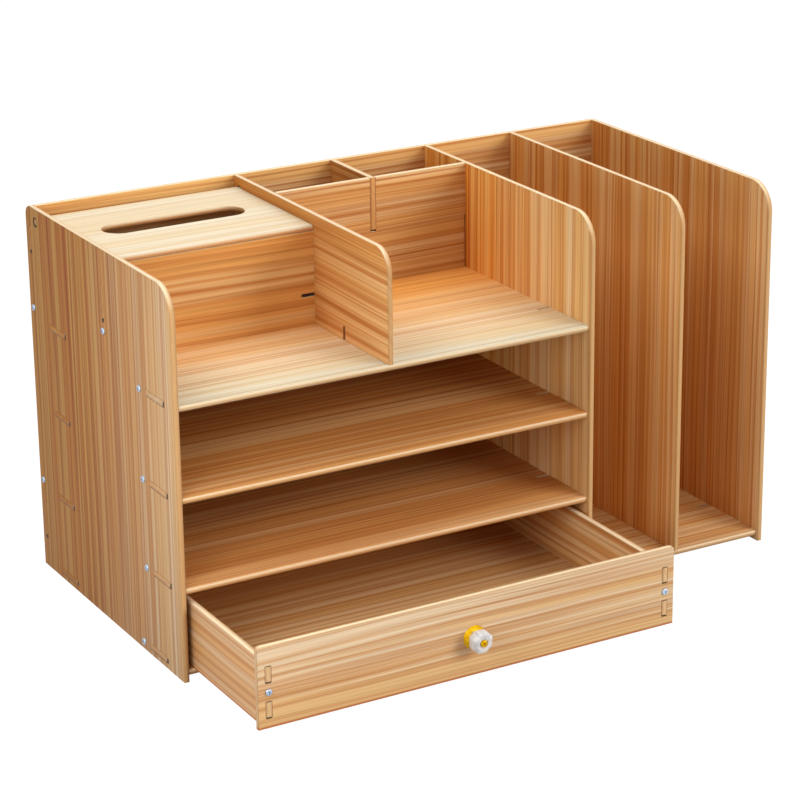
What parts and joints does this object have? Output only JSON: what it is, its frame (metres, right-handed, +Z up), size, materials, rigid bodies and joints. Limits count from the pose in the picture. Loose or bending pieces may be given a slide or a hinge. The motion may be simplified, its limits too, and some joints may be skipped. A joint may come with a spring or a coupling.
{
  "type": "desktop organiser with drawer",
  "caption": "Desktop organiser of thin wood-look boards with shelves, an open drawer with a clear knob, a tissue box with a hinged lid, pen pots and upright file bays.",
  "frame": {"origin": "on the floor, under the middle of the box around the whole part with its drawer open", "axes": "+X to the right seen from the front, +Y to the back, +Z up"},
  "size_m": [0.575, 0.4278, 0.33],
  "materials": {
    "board": "satin wood-grain film",
    "thin_board": "satin wood-grain film",
    "screw_steel": "bright plated",
    "gold_metal": "polished gold plated",
    "clear_crystal": "clear polished"
  },
  "bodies": {
    "cabinet": {"left_side_panel": "board", "inner_side_panel": "board", "right_side_panel": "board", "back_panel": "board", "bottom_board": "board", "lower_shelf": "board", "upper_shelf": "board", "deck_board": "board", "file_base_board": "board", "file_divider": "board", "middle_divider": "board", "tissue_front_board": "board", "pen_pot_front_board": "board", "pen_pot_divider": "board", "left_panel_screws": "screw_steel", "inner_panel_screws": "screw_steel", "right_panel_screws": "screw_steel", "deck_screw": "screw_steel", "divider_screw": "screw_steel"},
    "drawer": {"drawer_front": "board", "drawer_left_side": "board", "drawer_right_side": "board", "drawer_back": "board", "drawer_bottom": "thin_board", "drawer_front_screws": "screw_steel", "drawer_back_screws": "screw_steel", "knob_base_ring": "gold_metal", "knob_crystal": "clear_crystal", "knob_bolt": "gold_metal", "knob_nut": "screw_steel"},
    "lid": {"tissue_lid": "board"}
  },
  "joints": [
    {"name": "drawer_slide", "type": "slide", "parent": "cabinet", "child": "drawer", "axis": [0, -1, 0], "range_m": [-0.1207, 0.095]},
    {"name": "lid_hinge", "type": "hinge", "parent": "cabinet", "child": "lid", "pos_m": [-0.1875, 0.1929, 0.3185], "axis": [-1, 0, 0], "range_deg": [0, 115]}
  ]
}
